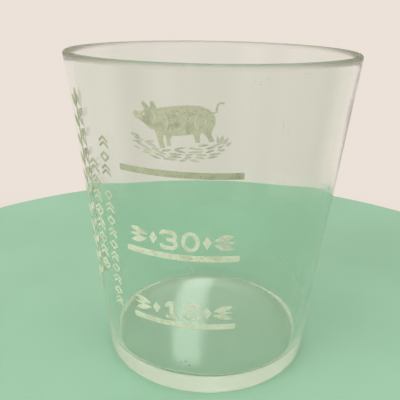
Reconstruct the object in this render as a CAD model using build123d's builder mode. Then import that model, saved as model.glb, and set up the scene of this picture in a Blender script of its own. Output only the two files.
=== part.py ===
from build123d import *
import math
import os

os.makedirs("parts", exist_ok=True)

# ---------------------------------------------------------------------------
# Straight-sided measure shot glass, thin blown glass, made in one piece, with
# white marks fired on its outside. Millimetres, +Z up. The origin is the
# centre of the flat underside, and the marks are centred on -Y.
# ---------------------------------------------------------------------------

# glass body
HEIGHT = 57.0             # underside to the top of the lip
BASE_RADIUS = 19.70       # outer cone carried down to z = 0
TAPER = 0.0975            # growth of the outer radius per mm of height
WALL_BASE = 1.62          # wall just above the floor
LIP_RADIUS = 0.53         # fully rounded, fire-polished lip
FLOOR_Z = 2.85            # inside floor at its edge
FLOOR_DISH = 0.12         # how much lower the floor is at its centre
FLOOR_FLAT = 15.5         # radius at which the dished floor turns level
FLOOR_FILLET = 1.30       # inside corner
HEEL_FILLET = 0.45        # outside bottom corner, barely rounded

# fired white marks
MARK_T = 0.06             # thickness of the fired layer
LINE_H = 1.00             # height of each fill line
LINE_UPPER_Z = 41.6
LINE_MIDDLE_Z = 27.9
LINE_LOWER_Z = 14.9
LINE_UPPER_HALF = 23.0    # half of the angle that each line spans, degrees
LINE_MIDDLE_HALF = 23.7
LINE_LOWER_HALF = 24.0
DIGIT_H = 3.40
STROKE = 0.62
ROW_MIDDLE_Z = 30.75      # centre of the numeral 30
ROW_LOWER_Z = 17.65       # centre of the numeral 15
ROW_HALF = 8.3            # half length of a numeral row along the surface
EMBLEM_Z = 48.8
BORDER_INNER_ARC = -12.8  # columns of ornament, measured along the surface
BORDER_MIDDLE_ARC = -16.25
BORDER_OUTER_ARC = -20.4


def outer_r(z):
    """Radius of the outside cone at height z."""
    return BASE_RADIUS + TAPER * z


def side_plane(theta, distance=0.0):
    """Upright plane facing outwards at theta degrees from -Y towards +X."""
    t = math.radians(theta)
    out = Vector(math.sin(t), -math.cos(t), 0)
    return Plane(
        origin=out * distance, x_dir=(math.cos(t), math.sin(t), 0), z_dir=out
    )


def on_side(arc, z, theta=0.0):
    """Sketch point for a place arc mm along the surface from the -Y line."""
    r = outer_r(z)
    return (r * math.sin(arc / r - math.radians(theta)), z)


def shell_profile():
    """Outline, in the XZ plane, of the thin fired layer on the outside cone."""
    lo, hi = 8.0, 55.0
    return [
        (outer_r(lo), lo),
        (outer_r(hi), hi),
        (outer_r(hi) + MARK_T, hi),
        (outer_r(lo) + MARK_T, lo),
    ]


def leaf(p, q, width, belly=0.45, n=7):
    """Pointed leaf or tapered stroke from p to q, as a closed outline."""
    dx, dz = q[0] - p[0], q[1] - p[1]
    length = math.hypot(dx, dz)
    ux, uz = dx / length, dz / length
    top, bottom = [], []
    for i in range(n + 1):
        t = i / n
        s = t ** (math.log(0.5) / math.log(belly))
        w = 0.5 * width * math.sin(math.pi * s)
        x, z = p[0] + dx * t, p[1] + dz * t
        top.append((x - uz * w, z + ux * w))
        bottom.append((x + uz * w, z - ux * w))
    return top + bottom[-2:0:-1]


def lozenge(x, z, width, height):
    return [
        (x - width / 2, z),
        (x, z + height / 2),
        (x + width / 2, z),
        (x, z - height / 2),
    ]


# ---------------------------------------------------------------------------
# the glass itself: one revolved wall and floor with a rounded lip
# ---------------------------------------------------------------------------
slope = math.atan(TAPER)
lip_z = HEIGHT - LIP_RADIUS
lip_out_z = lip_z - LIP_RADIUS * math.sin(slope)
lip_centre = outer_r(lip_out_z) - LIP_RADIUS * math.cos(slope)
lip_out = (outer_r(lip_out_z), lip_out_z)
lip_in = (
    lip_centre - LIP_RADIUS * math.cos(slope),
    lip_z + LIP_RADIUS * math.sin(slope),
)
floor_corner = (outer_r(FLOOR_Z) - WALL_BASE, FLOOR_Z)

with BuildPart() as glass_body:
    with BuildSketch(Plane.XZ) as wall_section:
        with BuildLine():
            Polyline((0, 0), (BASE_RADIUS, 0), lip_out)
            ThreePointArc(lip_out, (lip_centre, HEIGHT), lip_in)
            Line(lip_in, floor_corner)
            Line(floor_corner, (FLOOR_FLAT, FLOOR_Z))
            Spline(
                (FLOOR_FLAT, FLOOR_Z),
                (FLOOR_FLAT / 2, FLOOR_Z - FLOOR_DISH * 0.6),
                (0, FLOOR_Z - FLOOR_DISH),
                tangents=[(-1, 0), (-1, 0)],
            )
            Line((0, FLOOR_Z - FLOOR_DISH), (0, 0))
        make_face()
        fillet(
            wall_section.vertices().sort_by_distance((BASE_RADIUS, 0))[0],
            radius=HEEL_FILLET,
        )
        fillet(
            wall_section.vertices().sort_by_distance(floor_corner)[0],
            radius=FLOOR_FILLET,
        )
    revolve(axis=Axis.Z)
glass_body.part.label = "glass_body"
export_step(glass_body.part, "parts/glass_body.step")


# ---------------------------------------------------------------------------
# three fill lines, one above another
# ---------------------------------------------------------------------------
with BuildPart() as fill_line_upper:
    with BuildSketch(side_plane(0, 15)):
        with Locations((0, LINE_UPPER_Z)):
            RectangleRounded(
                2 * outer_r(LINE_UPPER_Z) * math.sin(math.radians(LINE_UPPER_HALF)),
                LINE_H,
                0.22,
            )
    extrude(amount=15)
    with BuildSketch(Plane.XZ):
        with BuildLine():
            Polyline(*shell_profile(), close=True)
        make_face()
    revolve(axis=Axis.Z, mode=Mode.INTERSECT)
fill_line_upper.part.label = "fill_line_upper"
export_step(fill_line_upper.part, "parts/fill_line_upper.step")

with BuildPart() as fill_line_middle:
    with BuildSketch(side_plane(0, 15)):
        with Locations((0, LINE_MIDDLE_Z)):
            RectangleRounded(
                2 * outer_r(LINE_MIDDLE_Z) * math.sin(math.radians(LINE_MIDDLE_HALF)),
                LINE_H,
                0.22,
            )
    extrude(amount=15)
    with BuildSketch(Plane.XZ):
        with BuildLine():
            Polyline(*shell_profile(), close=True)
        make_face()
    revolve(axis=Axis.Z, mode=Mode.INTERSECT)
fill_line_middle.part.label = "fill_line_middle"
export_step(fill_line_middle.part, "parts/fill_line_middle.step")

with BuildPart() as fill_line_lower:
    with BuildSketch(side_plane(0, 15)):
        with Locations((0, LINE_LOWER_Z)):
            RectangleRounded(
                2 * outer_r(LINE_LOWER_Z) * math.sin(math.radians(LINE_LOWER_HALF)),
                LINE_H,
                0.22,
            )
    extrude(amount=15)
    with BuildSketch(Plane.XZ):
        with BuildLine():
            Polyline(*shell_profile(), close=True)
        make_face()
    revolve(axis=Axis.Z, mode=Mode.INTERSECT)
fill_line_lower.part.label = "fill_line_lower"
export_step(fill_line_lower.part, "parts/fill_line_lower.step")


# ---------------------------------------------------------------------------
# numerals above the middle and lower lines, block style
# ---------------------------------------------------------------------------
def three(x, z):
    """Centre lines of a figure 3 centred on x, z."""
    with BuildLine() as upper:
        ThreePointArc((x - 1.12, z + 0.84), (x - 0.97, z + 1.23), (x - 0.58, z + 1.39))
        Line((x - 0.58, z + 1.39), (x + 0.42, z + 1.39))
        ThreePointArc((x + 0.42, z + 1.39), (x + 1.08, z + 0.73), (x + 0.42, z + 0.07))
        Line((x + 0.42, z + 0.07), (x - 0.30, z + 0.07))
    trace(upper.line, line_width=STROKE)
    with BuildLine() as lower:
        Line((x - 0.10, z + 0.07), (x + 0.42, z + 0.07))
        ThreePointArc((x + 0.42, z + 0.07), (x + 1.15, z - 0.66), (x + 0.42, z - 1.39))
        Line((x + 0.42, z - 1.39), (x - 0.58, z - 1.39))
        ThreePointArc((x - 0.58, z - 1.39), (x - 1.00, z - 1.23), (x - 1.16, z - 0.82))
    trace(lower.line, line_width=STROKE)


def five(x, z):
    """Centre lines of a figure 5 centred on x, z."""
    with BuildLine() as flag:
        Polyline((x + 1.10, z + 1.39), (x - 0.80, z + 1.39), (x - 0.92, z + 0.10))
    trace(flag.line, line_width=STROKE)
    with BuildLine() as bowl:
        ThreePointArc((x - 0.92, z + 0.10), (x - 0.45, z + 0.36), (x + 0.10, z + 0.42))
        ThreePointArc((x + 0.10, z + 0.42), (x + 1.14, z - 0.48), (x + 0.10, z - 1.39))
        Line((x + 0.10, z - 1.39), (x - 0.50, z - 1.39))
        ThreePointArc((x - 0.50, z - 1.39), (x - 0.98, z - 1.22), (x - 1.16, z - 0.82))
    trace(bowl.line, line_width=STROKE)


with BuildPart() as numeral_middle:
    with BuildSketch(side_plane(0, 15)):
        three(-1.72, ROW_MIDDLE_Z)
        with Locations((1.72, ROW_MIDDLE_Z)):
            Ellipse(1.42, DIGIT_H / 2)
            Ellipse(0.78, DIGIT_H / 2 - 0.58, mode=Mode.SUBTRACT)
    extrude(amount=15)
    with BuildSketch(Plane.XZ):
        with BuildLine():
            Polyline(*shell_profile(), close=True)
        make_face()
    revolve(axis=Axis.Z, mode=Mode.INTERSECT)
numeral_middle.part.label = "numeral_middle"
export_step(numeral_middle.part, "parts/numeral_middle.step")

with BuildPart() as numeral_lower:
    with BuildSketch(side_plane(0, 15)):
        with Locations((-1.62, ROW_LOWER_Z)):
            Rectangle(0.70, DIGIT_H)
        with Locations((-1.62, ROW_LOWER_Z - DIGIT_H / 2 + 0.27)):
            Rectangle(2.10, 0.54)
        with BuildLine():
            Polyline(
                (-1.97, ROW_LOWER_Z + DIGIT_H / 2),
                (-1.97, ROW_LOWER_Z + DIGIT_H / 2 - 0.95),
                (-2.72, ROW_LOWER_Z + DIGIT_H / 2 - 1.30),
                (-2.72, ROW_LOWER_Z + DIGIT_H / 2 - 0.72),
                close=True,
            )
        make_face()
        five(1.72, ROW_LOWER_Z)
    extrude(amount=15)
    with BuildSketch(Plane.XZ):
        with BuildLine():
            Polyline(*shell_profile(), close=True)
        make_face()
    revolve(axis=Axis.Z, mode=Mode.INTERSECT)
numeral_lower.part.label = "numeral_lower"
export_step(numeral_lower.part, "parts/numeral_lower.step")


# ---------------------------------------------------------------------------
# ornament either side of each numeral: a lozenge and a pair of leaves
# ---------------------------------------------------------------------------
def row_ornament(z):
    shapes = []
    for side in (-1, 1):
        x, _ = on_side(side * 4.25, z)
        shapes.append(lozenge(x, z, 1.35, 2.3))
        root = on_side(side * 5.15, z)
        for lift in (-1, 1):
            tip = on_side(side * ROW_HALF, z + lift * 1.18)
            start = (root[0] + side * 0.12, z + lift * 0.34)
            shapes.append(leaf(start, tip, 1.02, belly=0.52))
        far = on_side(side * (ROW_HALF + 0.15), z)
        near = on_side(side * 6.35, z)
        shapes.append(leaf((near[0], z), (far[0], z), 0.5, belly=0.5))
    return shapes


with BuildPart() as ornament_middle:
    with BuildSketch(side_plane(0, 15)):
        for outline in row_ornament(ROW_MIDDLE_Z):
            with BuildLine():
                Polyline(*outline, close=True)
            make_face()
    extrude(amount=15)
    with BuildSketch(Plane.XZ):
        with BuildLine():
            Polyline(*shell_profile(), close=True)
        make_face()
    revolve(axis=Axis.Z, mode=Mode.INTERSECT)
ornament_middle.part.label = "ornament_middle"
export_step(ornament_middle.part, "parts/ornament_middle.step")

with BuildPart() as ornament_lower:
    with BuildSketch(side_plane(0, 15)):
        for outline in row_ornament(ROW_LOWER_Z):
            with BuildLine():
                Polyline(*outline, close=True)
            make_face()
    extrude(amount=15)
    with BuildSketch(Plane.XZ):
        with BuildLine():
            Polyline(*shell_profile(), close=True)
        make_face()
    revolve(axis=Axis.Z, mode=Mode.INTERSECT)
ornament_lower.part.label = "ornament_lower"
export_step(ornament_lower.part, "parts/ornament_lower.step")


# ---------------------------------------------------------------------------
# plain farm pig above the upper line, in side view, with bare lines left
# inside it, and the strokes of the ground that it stands on
# ---------------------------------------------------------------------------
PIG_TRUNK = [
    (-3.3, 1.90), (-1.6, 2.40), (0.6, 2.72), (2.9, 2.80), (4.6, 2.20), (5.30, 1.00),
    (4.95, -0.30), (3.5, -0.92), (1.4, -1.32), (-0.8, -1.55), (-2.6, -1.25),
    (-3.6, -0.45), (-3.85, 0.6),
]
PIG_HEAD = [
    (-3.1, 2.20), (-3.95, 2.22), (-4.55, 1.85), (-5.28, 1.52), (-6.02, 1.62),
    (-6.25, 1.28), (-6.15, 0.80), (-5.45, 0.36), (-4.55, -0.14), (-3.4, -0.82),
    (-2.9, 0.3),
]
PIG_EARS = [
    [(-4.52, 1.95), (-4.95, 2.80), (-4.60, 3.02), (-3.78, 2.25)],
    [(-3.62, 2.15), (-3.55, 3.05), (-3.12, 3.12), (-2.62, 2.15)],
]
PIG_LEGS = [
    [(-3.10, -0.8), (-1.75, -1.1), (-1.92, -2.30), (-1.68, -3.10), (-1.70, -3.42),
     (-2.42, -3.42), (-2.42, -3.10), (-2.70, -2.20)],
    [(-1.62, -1.3), (-0.55, -1.4), (-0.90, -2.20), (-0.78, -2.72), (-0.80, -3.00),
     (-1.42, -3.00), (-1.42, -2.25)],
    [(3.30, -0.7), (5.08, 0.0), (4.72, -1.15), (5.12, -1.82), (5.12, -2.14),
     (4.44, -2.16), (4.36, -1.80), (3.96, -1.20)],
    [(2.20, -0.9), (3.60, -0.7), (3.20, -1.40), (3.26, -1.98), (3.22, -2.28),
     (2.60, -2.28), (2.62, -1.95), (2.44, -1.45)],
]
PIG_TAIL = [(4.90, 1.85), (5.42, 2.10), (5.52, 2.72), (5.92, 3.22), (6.42, 3.12)]
PIG_FOLDS = [  # bare lines: cheek, shoulder, haunch, and the mouth
    [(-3.10, 1.45), (-3.02, 0.75), (-3.35, 0.05)],
    [(-1.55, 1.25), (-1.25, 0.20), (-1.62, -0.80)],
    [(2.95, 1.55), (2.60, 0.45), (3.10, -0.50)],
    [(-5.72, 0.86), (-5.25, 0.88), (-4.85, 0.72)],
]
PIG_FLECKS = [  # bare flecks scattered over the flank and belly
    (-0.72, -0.72), (0.30, -0.46), (1.12, -0.82), (2.06, -0.34), (-0.35, 0.40),
    (1.02, 0.28), (1.88, 0.92), (0.22, 1.62), (2.14, 2.04), (3.92, 0.66),
]

with BuildPart() as pig_emblem:
    with BuildSketch(side_plane(0, 15)):
        for outline in (PIG_TRUNK, PIG_HEAD):
            with BuildLine():
                Spline(*[(x, EMBLEM_Z + z) for x, z in outline], periodic=True)
            make_face()
        for outline in PIG_EARS + PIG_LEGS:
            with BuildLine():
                Polyline(*[(x, EMBLEM_Z + z) for x, z in outline], close=True)
            make_face()
        with BuildLine() as tail_line:
            Spline(*[(x, EMBLEM_Z + z) for x, z in PIG_TAIL])
        trace(tail_line.line, line_width=0.26)
        for fold in PIG_FOLDS:
            with BuildLine() as fold_line:
                ThreePointArc(*[(x, EMBLEM_Z + z) for x, z in fold])
            trace(fold_line.line, line_width=0.10, mode=Mode.SUBTRACT)
        for i, (x, z) in enumerate(PIG_FLECKS):
            reach = 0.13 + 0.04 * ((i * 3) % 4)
            lean = 0.10 + 0.05 * ((i * 5) % 3 - 1)
            shift = 0.07 * ((i * 7) % 4 - 1.5)
            with BuildLine():
                Polyline(
                    *leaf(
                        (x + shift + lean, EMBLEM_Z + z + reach),
                        (x + shift - lean, EMBLEM_Z + z - reach),
                        0.12,
                    ),
                    close=True,
                )
            make_face(mode=Mode.SUBTRACT)
        with Locations((-4.68, EMBLEM_Z + 1.22)):
            Circle(0.14, mode=Mode.SUBTRACT)
    extrude(amount=15)
    with BuildSketch(Plane.XZ):
        with BuildLine():
            Polyline(*shell_profile(), close=True)
        make_face()
    revolve(axis=Axis.Z, mode=Mode.INTERSECT)
pig_emblem.part.label = "pig_emblem"
export_step(pig_emblem.part, "parts/pig_emblem.step")

GROUND_ROWS = [  # height, then the stretches that strokes fill
    (46.45, [(-6.70, -4.95)]),
    (46.00, [(-6.45, -3.15), (2.85, 6.95)]),
    (45.55, [(-6.70, -2.85), (-0.45, 6.60)]),
    (45.08, [(-6.10, 6.85)]),
    (44.64, [(-6.60, 6.20)]),
    (44.22, [(-5.30, 5.70)]),
    (43.82, [(-4.20, 4.10)]),
]
GROUND = [  # start, end and width of each stroke, tufts first
    ((-6.20, 46.70), (-6.95, 47.20), 0.36),
    ((5.72, 46.35), (5.58, 47.55), 0.46),
    ((6.02, 46.40), (6.30, 47.70), 0.50),
    ((6.35, 46.30), (7.05, 47.35), 0.48),
    ((6.70, 46.05), (7.45, 46.70), 0.42),
]
for row, (height, stretches) in enumerate(GROUND_ROWS):
    for first, last in stretches:
        x, count = first, row
        while x < last - 0.7:
            length = 1.35 + 0.28 * ((count * 5) % 4)
            end = min(x + length, last)
            tilt = 0.035 * (x + end) * 0.5 + 0.20 * ((count % 3) - 1)
            lift = 0.012 * (x + 0.4) ** 2
            GROUND.append(
                (
                    (x, height + lift - tilt * (end - x) * 0.5),
                    (end, height + lift + tilt * (end - x) * 0.5),
                    0.32 + 0.06 * (count % 2),
                )
            )
            x = end + 0.16
            count += 1

with BuildPart() as ground_strokes:
    with BuildSketch(side_plane(0, 15)):
        for start, end, width in GROUND:
            with BuildLine():
                Polyline(*leaf(start, end, width), close=True)
            make_face()
    extrude(amount=15)
    with BuildSketch(Plane.XZ):
        with BuildLine():
            Polyline(*shell_profile(), close=True)
        make_face()
    revolve(axis=Axis.Z, mode=Mode.INTERSECT)
ground_strokes.part.label = "ground_strokes"
export_step(ground_strokes.part, "parts/ground_strokes.step")


# ---------------------------------------------------------------------------
# three upright columns of plain ornament beside the measure marks
# ---------------------------------------------------------------------------
INNER_THETA = math.degrees(BORDER_INNER_ARC / outer_r(31))
MIDDLE_THETA = math.degrees(BORDER_MIDDLE_ARC / outer_r(31))
OUTER_THETA = math.degrees(BORDER_OUTER_ARC / outer_r(34))


def chevron(x, z, half, rise, thick):
    """Angle stroke that points up the column, or down it with a negative rise."""
    t = thick if rise > 0 else -thick
    return [
        (x - half, z - rise / 2),
        (x, z + rise / 2),
        (x + half, z - rise / 2),
        (x + half, z - rise / 2 - t),
        (x, z + rise / 2 - t),
        (x - half, z - rise / 2 - t),
    ]


def inner_column():
    """Open diamonds between pairs of chevrons, with a gap near the top."""
    shapes = []
    z = 15.6
    for i in range(13):
        if i == 10:
            z += 1.9
        x, _ = on_side(BORDER_INNER_ARC, z, INNER_THETA)
        if i % 2:
            shapes.append(chevron(x, z + 0.55, 0.98, 0.70, 0.40))
            shapes.append(chevron(x, z - 0.55, 0.98, -0.70, 0.40))
        else:
            shapes.append(chevron(x, z + 0.72, 0.98, 0.70, 0.40))
            shapes.append(chevron(x, z - 0.10, 0.98, 0.70, 0.40))
        z += 2.27
    return shapes


def middle_column():
    """Larger open diamonds with a dot inside, and pairs of chevrons between."""
    shapes = []
    z = 21.9
    for i in range(8):
        x, _ = on_side(BORDER_MIDDLE_ARC, z, MIDDLE_THETA)
        if i % 2:
            shapes.append(chevron(x, z + 0.85, 1.35, 0.80, 0.50))
            shapes.append(chevron(x, z - 0.15, 1.35, 0.80, 0.50))
        else:
            shapes.append(chevron(x, z + 0.72, 1.35, 0.85, 0.46))
            shapes.append(chevron(x, z - 0.72, 1.35, -0.85, 0.46))
            shapes.append(lozenge(x, z, 0.80, 0.80))
        z += 2.62
    return shapes


def outer_column():
    """A branch with leaves on alternate sides."""
    shapes = []
    z = 16.4
    i = 0
    while z < 49.6:
        side = 1 if i % 2 else -1
        x, _ = on_side(BORDER_OUTER_ARC, z, OUTER_THETA)
        tip, _ = on_side(BORDER_OUTER_ARC + side * 2.15, z + 1.9, OUTER_THETA)
        shapes.append(leaf((x + side * 0.05, z), (tip, z + 1.9), 1.15, 0.55))
        z += 1.62
        i += 1
    x, _ = on_side(BORDER_OUTER_ARC, 49.2, OUTER_THETA)
    top, _ = on_side(BORDER_OUTER_ARC, 52.0, OUTER_THETA)
    shapes.append(leaf((x, 49.2), (top, 52.0), 1.2, 0.55))
    lo, _ = on_side(BORDER_OUTER_ARC, 15.6, OUTER_THETA)
    hi, _ = on_side(BORDER_OUTER_ARC, 49.8, OUTER_THETA)
    shapes.append([(lo - 0.16, 15.6), (hi - 0.13, 49.8), (hi + 0.13, 49.8), (lo + 0.16, 15.6)])
    return shapes


with BuildPart() as border_inner:
    with BuildSketch(side_plane(INNER_THETA, 15)):
        for outline in inner_column():
            with BuildLine():
                Polyline(*outline, close=True)
            make_face()
    extrude(amount=15)
    with BuildSketch(Plane.XZ):
        with BuildLine():
            Polyline(*shell_profile(), close=True)
        make_face()
    revolve(axis=Axis.Z, mode=Mode.INTERSECT)
border_inner.part.label = "border_inner"
export_step(border_inner.part, "parts/border_inner.step")

with BuildPart() as border_middle:
    with BuildSketch(side_plane(MIDDLE_THETA, 15)):
        for outline in middle_column():
            with BuildLine():
                Polyline(*outline, close=True)
            make_face()
    extrude(amount=15)
    with BuildSketch(Plane.XZ):
        with BuildLine():
            Polyline(*shell_profile(), close=True)
        make_face()
    revolve(axis=Axis.Z, mode=Mode.INTERSECT)
border_middle.part.label = "border_middle"
export_step(border_middle.part, "parts/border_middle.step")

with BuildPart() as border_outer:
    with BuildSketch(side_plane(OUTER_THETA, 15)):
        for outline in outer_column():
            with BuildLine():
                Polyline(*outline, close=True)
            make_face()
    extrude(amount=15)
    with BuildSketch(Plane.XZ):
        with BuildLine():
            Polyline(*shell_profile(), close=True)
        make_face()
    revolve(axis=Axis.Z, mode=Mode.INTERSECT)
border_outer.part.label = "border_outer"
export_step(border_outer.part, "parts/border_outer.step")
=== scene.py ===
import math
import random

import bmesh
import bpy
from mathutils import Matrix, Vector, noise

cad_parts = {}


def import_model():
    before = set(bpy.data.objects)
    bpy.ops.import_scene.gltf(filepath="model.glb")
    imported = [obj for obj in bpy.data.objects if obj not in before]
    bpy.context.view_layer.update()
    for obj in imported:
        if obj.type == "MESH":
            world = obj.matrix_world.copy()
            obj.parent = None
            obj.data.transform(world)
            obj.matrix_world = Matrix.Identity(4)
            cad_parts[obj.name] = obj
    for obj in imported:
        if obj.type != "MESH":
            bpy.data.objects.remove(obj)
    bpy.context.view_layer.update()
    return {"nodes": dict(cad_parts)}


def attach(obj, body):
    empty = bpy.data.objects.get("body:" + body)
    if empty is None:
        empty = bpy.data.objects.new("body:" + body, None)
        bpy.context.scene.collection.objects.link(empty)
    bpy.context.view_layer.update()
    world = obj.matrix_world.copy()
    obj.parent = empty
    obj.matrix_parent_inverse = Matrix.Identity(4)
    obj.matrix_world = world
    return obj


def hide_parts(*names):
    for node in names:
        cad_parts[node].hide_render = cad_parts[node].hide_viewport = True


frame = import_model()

random.seed(7)

MM = 0.001
# the glass's own dimensions, in millimetres, as in the CAD model
HEIGHT, BASE_RADIUS, TAPER = 57.0, 19.70, 0.0975
WALL_BASE, LIP_RADIUS = 1.62, 0.53
FLOOR_Z, FLOOR_DISH, FLOOR_FLAT, FLOOR_FILLET = 2.85, 0.12, 15.5, 1.30
HEEL_FILLET = 0.45
SLOPE = math.atan(TAPER)


def outer_r(z):
    return BASE_RADIUS + TAPER * z


# ---------------------------------------------------------------- camera
CAM_F = 506.33            # focal length in pixels of a 400 pixel frame
CAM_D, CAM_Z = 0.09121, 0.06354
CAM_AZ, PITCH, ROLL, YAW = (math.radians(a) for a in (11.0, 20.712, 0.926, 1.087))


def camera():
    data = bpy.data.cameras.new("camera")
    data.sensor_width = 36.0
    data.lens = CAM_F * 36.0 / 400.0
    data.clip_start, data.clip_end = 0.001, 20.0
    cam = bpy.data.objects.new("camera", data)
    bpy.context.scene.collection.objects.link(cam)
    fwd = Vector((0, math.cos(PITCH), -math.sin(PITCH)))
    right = Vector((1, 0, 0))
    up = Vector((0, math.sin(PITCH), math.cos(PITCH)))
    r2 = math.cos(ROLL) * right + math.sin(ROLL) * up
    u2 = -math.sin(ROLL) * right + math.cos(ROLL) * up
    turn = Matrix.Rotation(YAW + CAM_AZ, 3, "Z")
    fwd, r2, u2 = turn @ fwd, turn @ r2, turn @ u2
    place = Matrix.Rotation(CAM_AZ, 3, "Z") @ Vector((0, -CAM_D, CAM_Z))
    m = Matrix((r2, u2, -fwd)).transposed().to_4x4()
    m.translation = place
    cam.matrix_world = m
    bpy.context.scene.camera = cam
    return cam


camera()


# ---------------------------------------------------------------- node helpers
class Tree:
    """Small helper that adds nodes to a tree and links them."""

    def __init__(self, tree):
        self.t = tree
        tree.nodes.clear()

    def add(self, kind, **props):
        n = self.t.nodes.new(kind)
        for k, v in props.items():
            setattr(n, k, v)
        return n

    def link(self, a, b):
        self.t.links.new(a, b)

    def ramp(self, source, stops, interpolation="EASE"):
        n = self.add("ShaderNodeValToRGB")
        n.color_ramp.interpolation = interpolation
        e = n.color_ramp.elements
        e[0].position, e[0].color = stops[0][0], stops[0][1]
        e[1].position, e[1].color = stops[-1][0], stops[-1][1]
        for pos, col in stops[1:-1]:
            x = e.new(pos)
            x.color = col
        self.link(source, n.inputs["Fac"])
        return n

    def math(self, op, a, b=None, clamp=False):
        n = self.add("ShaderNodeMath", operation=op, use_clamp=clamp)
        for i, v in enumerate((a, b)):
            if v is None:
                continue
            if isinstance(v, (int, float)):
                n.inputs[i].default_value = v
            else:
                self.link(v, n.inputs[i])
        return n.outputs[0]


def material(name):
    m = bpy.data.materials.new(name)
    m.use_nodes = True
    return m, Tree(m.node_tree)


def grey(v, a=1.0):
    return (v, v, v, a)


# ---------------------------------------------------------------- materials
def clear_glass():
    m, t = material("clear_glass")
    out = t.add("ShaderNodeOutputMaterial")
    p = t.add("ShaderNodeBsdfPrincipled")
    p.inputs["Base Color"].default_value = (0.912, 0.950, 0.918, 1)
    p.inputs["Transmission Weight"].default_value = 1.0
    p.inputs["IOR"].default_value = 1.50
    coord = t.add("ShaderNodeTexCoord")
    # faint streaks of the blown wall, drawn out along the height
    stretch = t.add("ShaderNodeMapping")
    stretch.inputs["Scale"].default_value = (260, 260, 40)
    t.link(coord.outputs["Object"], stretch.inputs["Vector"])
    streak = t.add("ShaderNodeTexNoise")
    streak.inputs["Scale"].default_value = 1.0
    streak.inputs["Detail"].default_value = 2.0
    t.link(stretch.outputs["Vector"], streak.inputs["Vector"])
    # hairline scratches from use, drawn out along one direction
    fine = t.add("ShaderNodeMapping")
    fine.inputs["Scale"].default_value = (2600, 2600, 150)
    fine.inputs["Rotation"].default_value = (0.5, 0.35, 0.2)
    t.link(coord.outputs["Object"], fine.inputs["Vector"])
    hair = t.add("ShaderNodeTexNoise")
    hair.inputs["Scale"].default_value = 1.0
    hair.inputs["Detail"].default_value = 3.0
    t.link(fine.outputs["Vector"], hair.inputs["Vector"])
    scratch = t.ramp(hair.outputs["Fac"], [(0.70, grey(0)), (0.76, grey(1))], "LINEAR")
    height = t.math("ADD", streak.outputs["Fac"], t.math("MULTIPLY", scratch.outputs["Color"], 0.05))
    bump = t.add("ShaderNodeBump")
    bump.inputs["Strength"].default_value = 0.10
    bump.inputs["Distance"].default_value = 0.00005
    t.link(height, bump.inputs["Height"])
    t.link(bump.outputs["Normal"], p.inputs["Normal"])
    # handling haze: slightly rougher in cloudy patches and in the scratches
    cloud = t.add("ShaderNodeTexNoise")
    cloud.inputs["Scale"].default_value = 90
    cloud.inputs["Detail"].default_value = 4.0
    t.link(coord.outputs["Object"], cloud.inputs["Vector"])
    haze = t.ramp(cloud.outputs["Fac"], [(0.45, grey(0.0)), (0.75, grey(0.035))])
    rough = t.math("ADD", haze.outputs["Color"], t.math("MULTIPLY", scratch.outputs["Color"], 0.05))
    # the underside is worn satin from standing and sliding on tables
    sep = t.add("ShaderNodeSeparateXYZ")
    t.link(coord.outputs["Object"], sep.inputs[0])
    low = t.ramp(t.math("MULTIPLY", sep.outputs["Z"], 1000.0), [(0.02, grey(1)), (0.12, grey(0))], "LINEAR")
    worn = t.add("ShaderNodeTexNoise")
    worn.inputs["Scale"].default_value = 600
    worn.inputs["Detail"].default_value = 3.0
    t.link(coord.outputs["Object"], worn.inputs["Vector"])
    satin = t.ramp(worn.outputs["Fac"], [(0.35, grey(0.28)), (0.65, grey(0.34))])
    rough = t.math("ADD", rough, t.math("MULTIPLY", low.outputs["Color"], satin.outputs["Color"]), clamp=True)
    # the lip is dulled by use
    lip = t.ramp(t.math("MULTIPLY", sep.outputs["Z"], 10.0), [(0.5600, grey(0)), (0.5650, grey(0.65))])
    rough = t.math("ADD", rough, lip.outputs["Color"], clamp=True)
    t.link(rough, p.inputs["Roughness"])
    # the wall is faintly green; the lip is coloured a pinkish grey, a painted correction that takes the green
    # of the floor out of the light the lip reflects and refracts
    wall_tint_and_painted_lip = t.ramp(
        t.math("MULTIPLY", sep.outputs["Z"], 10.0),
        [(0.5600, (0.912, 0.950, 0.918, 1)), (0.5650, (0.925, 0.885, 0.89, 1))],
    )
    t.link(wall_tint_and_painted_lip.outputs["Color"], p.inputs["Base Color"])
    t.link(p.outputs["BSDF"], out.inputs["Surface"])
    vol = t.add("ShaderNodeVolumeAbsorption")
    vol.inputs["Color"].default_value = (0.915, 0.928, 0.88, 1)
    vol.inputs["Density"].default_value = 55.0
    t.link(vol.outputs["Volume"], out.inputs["Volume"])
    return m


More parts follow.
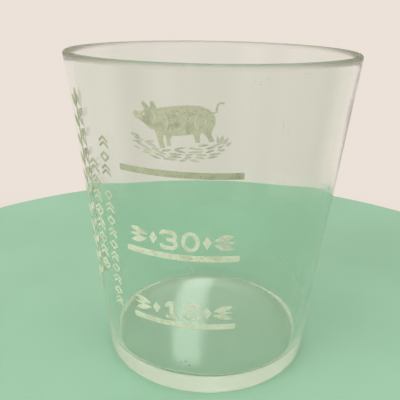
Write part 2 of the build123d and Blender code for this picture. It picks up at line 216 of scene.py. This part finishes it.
def fired_white(name, seed, low, tone, upper=None):
    """Frosted cream-white fired mark: grainy, thinner in places, worn at random. With upper, it turns to that
    tone
    higher up, between about 30 and 41 mm: painted light, the darker, greyer look the mark has where it is seen
    in front of the wall."""
    m, t = material(name)
    out = t.add("ShaderNodeOutputMaterial")
    p = t.add("ShaderNodeBsdfPrincipled")
    coord = t.add("ShaderNodeTexCoord")
    shift = t.add("ShaderNodeMapping")
    shift.inputs["Location"].default_value = (seed, seed * 0.7, seed * 0.3)
    t.link(coord.outputs["Object"], shift.inputs["Vector"])
    patch = t.add("ShaderNodeTexNoise")
    patch.inputs["Scale"].default_value = 420
    patch.inputs["Detail"].default_value = 5.0
    patch.inputs["Roughness"].default_value = 0.6
    t.link(shift.outputs["Vector"], patch.inputs["Vector"])
    grain = t.add("ShaderNodeTexNoise")
    grain.inputs["Scale"].default_value = 5200
    grain.inputs["Detail"].default_value = 3.0
    t.link(shift.outputs["Vector"], grain.inputs["Vector"])
    colour = t.ramp(
        patch.outputs["Fac"],
        [(0.30, tone[0] + (1,)), (0.55, tone[1] + (1,)), (0.78, tone[2] + (1,))],
    )
    shade = colour.outputs["Color"]
    if upper:
        # painted light: the darker, greyer tone the mark shows higher up, where it is seen in front of the
        # wall
        painted_wall_backdrop_tone = t.ramp(
            patch.outputs["Fac"],
            [(0.30, upper[0] + (1,)), (0.55, upper[1] + (1,)), (0.78, upper[2] + (1,))],
        )
        sep = t.add("ShaderNodeSeparateXYZ")
        t.link(coord.outputs["Object"], sep.inputs[0])
        high = t.ramp(t.math("MULTIPLY", sep.outputs["Z"], 10.0), [(0.30, grey(0)), (0.41, grey(1))])
        both = t.add("ShaderNodeMix", data_type="RGBA")
        t.link(high.outputs["Color"], both.inputs[0])
        t.link(shade, both.inputs[6])
        t.link(painted_wall_backdrop_tone.outputs["Color"], both.inputs[7])
        shade = both.outputs[2]
    t.link(shade, p.inputs["Base Color"])
    thin = t.ramp(patch.outputs["Fac"], [(0.28, grey(low)), (0.50, grey(1.0))])
    pits = t.ramp(grain.outputs["Fac"], [(0.30, grey(0.55)), (0.46, grey(1.0))])
    alpha = t.math("MULTIPLY", thin.outputs["Color"], pits.outputs["Color"], clamp=True)
    t.link(alpha, p.inputs["Alpha"])
    bump = t.add("ShaderNodeBump")
    bump.inputs["Strength"].default_value = 0.35
    bump.inputs["Distance"].default_value = 0.00002
    t.link(grain.outputs["Fac"], bump.inputs["Height"])
    t.link(bump.outputs["Normal"], p.inputs["Normal"])
    rough = t.ramp(grain.outputs["Fac"], [(0.3, grey(0.62)), (0.7, grey(0.85))])
    t.link(rough.outputs["Color"], p.inputs["Roughness"])
    p.inputs["IOR"].default_value = 1.45
    t.link(p.outputs["BSDF"], out.inputs["Surface"])
    return m


def floor_material():
    m, t = material("studio_floor")
    out = t.add("ShaderNodeOutputMaterial")
    p = t.add("ShaderNodeBsdfPrincipled")
    coord = t.add("ShaderNodeTexCoord")
    n = t.add("ShaderNodeTexNoise")
    n.inputs["Scale"].default_value = 30
    n.inputs["Detail"].default_value = 3
    t.link(coord.outputs["Object"], n.inputs["Vector"])
    c = t.ramp(n.outputs["Fac"], [(0.35, (0.225, 0.405, 0.285, 1)), (0.65, (0.240, 0.428, 0.303, 1))])
    t.link(c.outputs["Color"], p.inputs["Base Color"])
    p.inputs["Roughness"].default_value = 0.8
    t.link(p.outputs["BSDF"], out.inputs["Surface"])
    return m


# ---------------------------------------------------------------- the glass
SEGMENTS = 384


def arc(cx, cz, r, a0, a1, n):
    return [
        (cx + r * math.cos(a0 + (a1 - a0) * i / n), cz + r * math.sin(a0 + (a1 - a0) * i / n))
        for i in range(n + 1)
    ]


def glass_profile():
    """Section of the glass from the middle of its underside, round the lip, to the middle of its floor.
    Each point is (radius, height, share of the inner-wall wave)."""
    pts = []
    # heel: small fillet between the flat underside and the cone, which meet at 90 degrees plus the slope
    corner = math.pi / 2 + SLOPE
    back = HEEL_FILLET / math.tan(corner / 2)
    cx, cz = BASE_RADIUS - back, HEEL_FILLET
    for i in range(16):
        pts.append((cx * i / 16, 0.0, 0.0))
    pts += [(x, z, 0.0) for x, z in arc(cx, cz, HEEL_FILLET, -math.pi / 2, -SLOPE, 14)]
    z0 = pts[-1][1]
    lip_z = HEIGHT - LIP_RADIUS
    lip_out_z = lip_z - LIP_RADIUS * math.sin(SLOPE)
    lip_r = outer_r(lip_out_z) - LIP_RADIUS * math.cos(SLOPE)
    rows = 44
    for i in range(1, rows):
        z = z0 + (lip_out_z - z0) * i / rows
        pts.append((outer_r(z), z, 0.0))
    pts += [(x, z, 0.0) for x, z in arc(lip_r, lip_z, LIP_RADIUS, -SLOPE, math.pi - SLOPE, 22)]
    top_in = pts[-1]
    floor_r = outer_r(FLOOR_Z) - WALL_BASE
    # inside corner
    lean = math.atan2(top_in[0] - floor_r, top_in[1] - FLOOR_Z)
    corner = math.pi / 2 + lean
    back = FLOOR_FILLET / math.tan(corner / 2)
    fx, fz = floor_r - back, FLOOR_Z + FLOOR_FILLET
    start = (fx + FLOOR_FILLET * math.cos(-lean), fz + FLOOR_FILLET * math.sin(-lean))
    for i in range(1, rows):
        u = i / rows
        z = top_in[1] + (start[1] - top_in[1]) * u
        x = top_in[0] + (start[0] - top_in[0]) * u
        share = min(1.0, u * 8.0) * min(1.0, (1 - u) * 8.0)
        pts.append((x, z, share))
    pts += [(x, z, 0.0) for x, z in arc(fx, fz, FLOOR_FILLET, -lean, -math.pi / 2, 12)]
    for i in range(1, 4):
        u = i / 4
        pts.append((fx + (FLOOR_FLAT - fx) * u, FLOOR_Z, 0.0))
    for i in range(0, 12):
        u = 1 - i / 12
        s = u * u * (3 - 2 * u)
        pts.append((FLOOR_FLAT * u, FLOOR_Z - FLOOR_DISH * (1 - s), 0.0))
    pts.append((0.0, FLOOR_Z - FLOOR_DISH, 0.0))
    return pts


def build_glass():
    pts = glass_profile()
    me = bpy.data.meshes.new("glass_wall")
    verts, faces = [], []
    first, last = pts[0], pts[-1]
    verts.append((0, 0, first[1] * MM))
    rings = pts[1:-1]
    for r, z, share in rings:
        for j in range(SEGMENTS):
            a = 2 * math.pi * j / SEGMENTS
            rr = r
            if share:
                wave = (
                    0.045 * math.sin(2 * a + 0.7 + z * 0.03)
                    + 0.030 * math.sin(3 * a + 2.1 - z * 0.05)
                    + 0.016 * math.sin(7 * a + 0.4 + z * 0.08)
                )
                rr = r + share * (wave - 0.02)
            rr *= 0.9996  # a hair inside the CAD outline
            verts.append((rr * math.cos(a) * MM, rr * math.sin(a) * MM, z * MM))
    tip = len(verts)
    verts.append((0, 0, last[1] * MM))
    n = len(rings)
    for j in range(SEGMENTS):
        k = (j + 1) % SEGMENTS
        faces.append((0, 1 + k, 1 + j))
        for i in range(n - 1):
            a, b = 1 + i * SEGMENTS, 1 + (i + 1) * SEGMENTS
            faces.append((a + j, a + k, b + k, b + j))
        a = 1 + (n - 1) * SEGMENTS
        faces.append((a + j, a + k, tip))
    me.from_pydata(verts, [], faces)
    me.polygons.foreach_set("use_smooth", [True] * len(me.polygons))
    me.update()
    ob = bpy.data.objects.new("glass_wall", me)
    bpy.context.scene.collection.objects.link(ob)
    return ob


glass = build_glass()
glass.data.materials.append(clear_glass())
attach(glass, "root")
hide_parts("glass_body")

# ---------------------------------------------------------------- the fired marks
# tones of the deposit, thin to thick, spread at random; the two main sets are painted light, a greyer, darker
# copy for marks seen in front of the wall near the lip and a paler copy for marks seen in front of the floor
# low down
WALL_SEEN_TONES_PAINTED = [(0.34, 0.375, 0.25), (0.42, 0.455, 0.315), (0.49, 0.52, 0.38)]
TABLE_SEEN_TONES_PAINTED = [(0.56, 0.63, 0.47), (0.64, 0.70, 0.54), (0.73, 0.77, 0.62)]
PALE = [(0.41, 0.43, 0.31), (0.51, 0.525, 0.385), (0.60, 0.60, 0.46)]
SOFT = [(0.44, 0.465, 0.365), (0.525, 0.545, 0.43), (0.60, 0.61, 0.49)]
marks = {
    "fill_line_upper": (1.3, 0.90, WALL_SEEN_TONES_PAINTED),
    "fill_line_middle": (2.1, 0.88, TABLE_SEEN_TONES_PAINTED),
    "fill_line_lower": (3.7, 0.88, TABLE_SEEN_TONES_PAINTED),
    "numeral_middle": (4.4, 0.86, TABLE_SEEN_TONES_PAINTED),
    "numeral_lower": (5.2, 0.86, TABLE_SEEN_TONES_PAINTED),
    "ornament_middle": (6.6, 0.84, TABLE_SEEN_TONES_PAINTED),
    "ornament_lower": (7.9, 0.84, TABLE_SEEN_TONES_PAINTED),
    "pig_emblem": (8.3, 0.62, PALE),
    "ground_strokes": (9.1, 0.50, SOFT),
    "border_inner": (10.7, 0.76, TABLE_SEEN_TONES_PAINTED),
    "border_middle": (11.2, 0.74, TABLE_SEEN_TONES_PAINTED),
    "border_outer": (12.8, 0.70, TABLE_SEEN_TONES_PAINTED),
}
# the borders run up from in front of the floor to in front of the wall, so higher up they take the painted
# wall-side tones
for node, (seed, low, tone) in marks.items():
    ob = frame["nodes"][node]
    mat = fired_white("fired_" + node, seed, low, tone, WALL_SEEN_TONES_PAINTED if node.startswith("border") else None)
    ob.data.materials.clear()
    ob.data.materials.append(mat)


# ---------------------------------------------------------------- wear
def on_wall(arc, z, lift=0.0):
    """Point on the outside of the glass, arc mm round from the -Y line, in metres."""
    r = outer_r(z) + lift
    a = arc / outer_r(z)
    return Vector((r * math.sin(a) * MM, -r * math.cos(a) * MM, z * MM))


def on_floor(x, y, lift=0.0):
    """Point on the inside floor."""
    u = min(1.0, math.hypot(x, y) / FLOOR_FLAT)
    s = u * u * (3 - 2 * u)
    return Vector((x * MM, y * MM, (FLOOR_Z - FLOOR_DISH * (1 - s) + lift) * MM))


def flake(bm, place, a, b, size, seed, long=1.0, turn=0.0):
    """One small irregular chip with a slightly domed top, in the surface coordinates a, b round its middle."""
    rng = random.Random(seed)
    n = 7
    rim = []
    for i in range(n):
        t = 2 * math.pi * i / n
        r = size * (0.65 + 0.5 * rng.random())
        u, v = r * long * math.cos(t), r * math.sin(t)
        du, dv = u * math.cos(turn) - v * math.sin(turn), u * math.sin(turn) + v * math.cos(turn)
        rim.append(bm.verts.new(place(a + du, b + dv, 0.004)))
    foot = [bm.verts.new(v.co - (place(a, b, 0.010) - place(a, b, 0.0)) * 0.9) for v in rim]
    top = bm.verts.new(place(a, b, 0.012))
    low = bm.verts.new(place(a, b, -0.004))
    for i in range(n):
        k = (i + 1) % n
        bm.faces.new((rim[i], rim[k], top))
        bm.faces.new((foot[i], foot[k], rim[k], rim[i]))
        bm.faces.new((foot[k], foot[i], low))


def scratch_line(bm, place, points, width, seed):
    """A thin broken scratch through the points."""
    rng = random.Random(seed)
    for i in range(len(points) - 1):
        (a0, b0), (a1, b1) = points[i], points[i + 1]
        length = math.hypot(a1 - a0, b1 - b0)
        flake(bm, place, (a0 + a1) / 2, (b0 + b1) / 2, width * (0.7 + 0.6 * rng.random()), seed + i,
              long=length / (2 * width), turn=math.atan2(b1 - b0, a1 - a0))


def wear_piece(name, draw, tones, alpha):
    bm = bmesh.new()
    draw(bm)
    bmesh.ops.recalc_face_normals(bm, faces=bm.faces)
    me = bpy.data.meshes.new(name)
    bm.to_mesh(me)
    bm.free()
    ob = bpy.data.objects.new(name, me)
    bpy.context.scene.collection.objects.link(ob)
    m, t = material(name)
    out = t.add("ShaderNodeOutputMaterial")
    p = t.add("ShaderNodeBsdfPrincipled")
    coord = t.add("ShaderNodeTexCoord")
    n = t.add("ShaderNodeTexNoise")
    n.inputs["Scale"].default_value = 9000
    n.inputs["Detail"].default_value = 3.0
    t.link(coord.outputs["Object"], n.inputs["Vector"])
    c = t.ramp(n.outputs["Fac"], [(0.35, tones[0] + (1,)), (0.65, tones[1] + (1,))])
    t.link(c.outputs["Color"], p.inputs["Base Color"])
    see = t.ramp(n.outputs["Fac"], [(0.30, grey(alpha[0])), (0.60, grey(alpha[1]))])
    t.link(see.outputs["Color"], p.inputs["Alpha"])
    p.inputs["Roughness"].default_value = 0.55
    t.link(p.outputs["BSDF"], out.inputs["Surface"])
    ob.data.materials.append(m)
    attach(ob, "root")
    return ob


def draw_chips(bm):
    """Small chips and scratches on the outside of the wall."""
    scratch_line(bm, on_wall, [(10.2, 55.05), (10.9, 54.75), (11.7, 54.95), (12.5, 55.35)], 0.07, 31)
    scratch_line(bm, on_wall, [(10.9, 54.45), (11.5, 54.40)], 0.06, 35)
    scratch_line(bm, on_wall, [(17.3, 55.70), (18.1, 55.55), (18.9, 55.62)], 0.06, 41)
    scratch_line(bm, on_wall, [(14.55, 41.15), (14.95, 40.05), (15.75, 40.35)], 0.05, 51)
    flake(bm, on_wall, 15.45, 40.25, 0.13, 55)
    scratch_line(bm, on_wall, [(14.9, 49.6), (15.05, 47.9), (15.0, 46.6)], 0.035, 61)
    scratch_line(bm, on_wall, [(15.9, 48.4), (16.0, 46.9)], 0.03, 65)
    rng = random.Random(77)
    for i in range(46):
        a = rng.uniform(-60.0, 62.0)
        z = rng.uniform(7.0, 54.0)
        flake(bm, on_wall, a, z, rng.uniform(0.025, 0.065), 100 + i)
    for i in range(9):
        a = rng.uniform(-60.0, 62.0)
        z = rng.uniform(10.0, 52.0)
        lean = rng.uniform(-0.9, 0.9)
        scratch_line(bm, on_wall, [(a, z), (a + lean, z - rng.uniform(0.8, 2.2))], 0.022, 200 + i)


def draw_dust(bm):
    """Light dust settled on the inside floor."""
    rng = random.Random(5)
    for i in range(26):
        r, t = 15.0 * math.sqrt(rng.random()), rng.uniform(0, 2 * math.pi)
        flake(bm, on_floor, r * math.cos(t), r * math.sin(t), rng.uniform(0.03, 0.075), 300 + i)
    flake(bm, on_floor, 5.8, -8.0, 0.20, 340, long=1.5)
    flake(bm, on_floor, 8.0, -11.1, 0.14, 341)


def draw_grit(bm):
    """Dark grit on the inside floor."""
    for i, (x, y, s) in enumerate(((-0.76, -14.3, 0.15), (0.15, -15.2, 0.14), (-1.55, -14.9, 0.10), (-0.40, -13.5, 0.07),
                                   (5.2, 3.1, 0.07), (-8.4, 5.0, 0.06), (2.4, 9.6, 0.06))):
        flake(bm, on_floor, x, y, s, 400 + i)


wear_piece("wall_chips", draw_chips, ((0.62, 0.64, 0.58), (0.88, 0.89, 0.84)), (0.45, 0.85))
wear_piece("floor_dust", draw_dust, ((0.72, 0.74, 0.66), (0.90, 0.90, 0.84)), (0.6, 0.95))
wear_piece("floor_grit", draw_grit, ((0.06, 0.07, 0.05), (0.14, 0.14, 0.11)), (0.8, 1.0))


# ---------------------------------------------------------------- studio
def disc(name, radius, z, mat, n=192):
    me = bpy.data.meshes.new(name)
    edge = 0.0012
    verts = [(0, 0, z)]
    for r, dz in ((radius - edge, 0), (radius - edge * 0.3, -edge * 0.3), (radius, -edge), (radius, -0.012)):
        for j in range(n):
            a = 2 * math.pi * j / n
            verts.append((r * math.cos(a), r * math.sin(a), z + dz))
    faces = [(0, 1 + j, 1 + (j + 1) % n) for j in range(n)]
    for i in range(3):
        a, b = 1 + i * n, 1 + (i + 1) * n
        faces += [(a + j, b + j, b + (j + 1) % n, a + (j + 1) % n) for j in range(n)]
    me.from_pydata(verts, [], faces)
    me.update()
    ob = bpy.data.objects.new(name, me)
    bpy.context.scene.collection.objects.link(ob)
    ob.data.materials.append(mat)
    return ob


disc("studio_floor", 0.097, -0.00006, floor_material())


WINDOW_AZ, WINDOW_EL = math.radians(-13.1), math.radians(33.3)
WINDOW_LEAN = -0.22
WINDOW_HALF, WINDOW_TALL, WINDOW_GLOW = math.radians(2.3), math.radians(4.7), 3.6


def world():
    w = bpy.data.worlds.new("studio")
    w.use_nodes = True
    bpy.context.scene.world = w
    t = Tree(w.node_tree)
    out = t.add("ShaderNodeOutputWorld")
    bg = t.add("ShaderNodeBackground")
    coord = t.add("ShaderNodeTexCoord")
    sep = t.add("ShaderNodeSeparateXYZ")
    t.link(coord.outputs["Generated"], sep.inputs[0])
    # pale wall all round up to a slightly darker ceiling
    up = t.math("MULTIPLY", t.math("ADD", sep.outputs["Z"], 1.0), 0.5)
    wall = t.ramp(
        up,
        [
            (0.0, (0.50, 0.51, 0.47, 1)),
            (0.27, (0.60, 0.58, 0.53, 1)),
            (0.34, (0.835, 0.757, 0.690, 1)),
            (0.58, (0.835, 0.757, 0.690, 1)),
            (0.70, (1.10, 1.04, 0.96, 1)),
            (0.88, (1.10, 1.04, 0.96, 1)),
            (0.94, (1.45, 1.42, 1.36, 1)),
            (1.0, (1.45, 1.42, 1.36, 1)),
        ],
    )
    # the side towards the viewer and to the right is a dimmer room
    side = t.math("ARCTAN2", sep.outputs["X"], t.math("MULTIPLY", sep.outputs["Y"], -1.0))
    turn = t.math("ADD", t.math("DIVIDE", side, 2 * math.pi), 0.5)
    room = t.ramp(
        turn,
        [
            (0.00, grey(1.0)),
            (0.315, grey(1.0)),
            (0.350, grey(0.45)),
            (0.370, grey(0.42)),
            (0.410, grey(0.95)),
            (0.430, grey(0.95)),
            (0.480, grey(0.42)),
            (0.550, grey(0.42)),
            (0.580, grey(0.65)),
            (0.670, grey(0.65)),
            (0.700, grey(0.34)),
            (0.800, grey(0.34)),
            (0.860, grey(1.0)),
            (1.00, grey(1.0)),
        ],
    )
    both = t.add("ShaderNodeMix", data_type="RGBA", blend_type="MULTIPLY")
    # overhead, the soft ceiling light evens out all round
    overhead = t.ramp(up, [(0.60, grey(1)), (0.78, grey(0))])
    t.link(overhead.outputs["Color"], both.inputs[0])
    t.link(wall.outputs["Color"], both.inputs[6])
    t.link(room.outputs["Color"], both.inputs[7])
    # one tall soft window high on the wall behind, a little left of straight back
    above = t.math("SUBTRACT", t.math("ARCSINE", sep.outputs["Z"]), WINDOW_EL)
    off = t.math("SUBTRACT", t.math("ARCTAN2", sep.outputs["X"], sep.outputs["Y"]), WINDOW_AZ)
    away = t.math("ABSOLUTE", t.math("SUBTRACT", off, t.math("MULTIPLY", above, WINDOW_LEAN)))
    rise = t.math("ABSOLUTE", above)
    wide = t.ramp(t.math("MULTIPLY", away, 1.0), [(0.0, grey(1)), (WINDOW_HALF * 0.5, grey(1)), (WINDOW_HALF * 1.5, grey(0))])
    tall = t.ramp(t.math("MULTIPLY", rise, 1.0), [(0.0, grey(1)), (WINDOW_TALL * 0.8, grey(1)), (WINDOW_TALL * 1.2, grey(0))])
    glow = t.math("MULTIPLY", t.math("MULTIPLY", wide.outputs["Color"], tall.outputs["Color"]), WINDOW_GLOW)
    lit = t.add("ShaderNodeMix", data_type="RGBA", blend_type="ADD")
    lit.inputs[0].default_value = 1.0
    t.link(both.outputs[2], lit.inputs[6])
    t.link(glow, lit.inputs[7])
    t.link(lit.outputs[2], bg.inputs["Color"])
    bg.inputs["Strength"].default_value = 1.0
    t.link(bg.outputs["Background"], out.inputs["Surface"])


def area(name, where, size, power, colour=(1, 1, 1), aim=(0, 0, 0.028)):
    data = bpy.data.lights.new(name, "AREA")
    data.shape = "RECTANGLE"
    data.size, data.size_y = size
    data.energy = power
    data.color = colour
    ob = bpy.data.objects.new(name, data)
    ob.location = where
    ob.rotation_mode = "QUATERNION"
    ob.rotation_quaternion = (Vector(where) - Vector(aim)).to_track_quat("Z", "Y")
    bpy.context.scene.collection.objects.link(ob)
    ob.visible_camera = False
    ob.visible_glossy = False
    ob.visible_transmission = False
    return ob


def polar(azimuth, elevation, distance):
    """azimuth 0 is on the camera's -Y side, 180 behind the object."""
    a, e = math.radians(azimuth), math.radians(elevation)
    return (
        distance * math.sin(a) * math.cos(e),
        -distance * math.cos(a) * math.cos(e),
        distance * math.sin(e),
    )


world()
area("key", polar(-40, 32, 0.6), (0.35, 0.35), 1.5, (1.0, 0.985, 0.96))
area("fill", polar(60, 34, 0.7), (0.4, 0.4), 0.9, (0.97, 0.99, 1.0))

scene = bpy.context.scene
scene.view_settings.view_transform = "Standard"
scene.view_settings.look = "None"
scene.cycles.max_bounces = 96
scene.cycles.transmission_bounces = 96
scene.cycles.glossy_bounces = 96
scene.cycles.transparent_max_bounces = 24
scene.cycles.blur_glossy = 0.0
scene.cycles.sample_clamp_indirect = 0.0
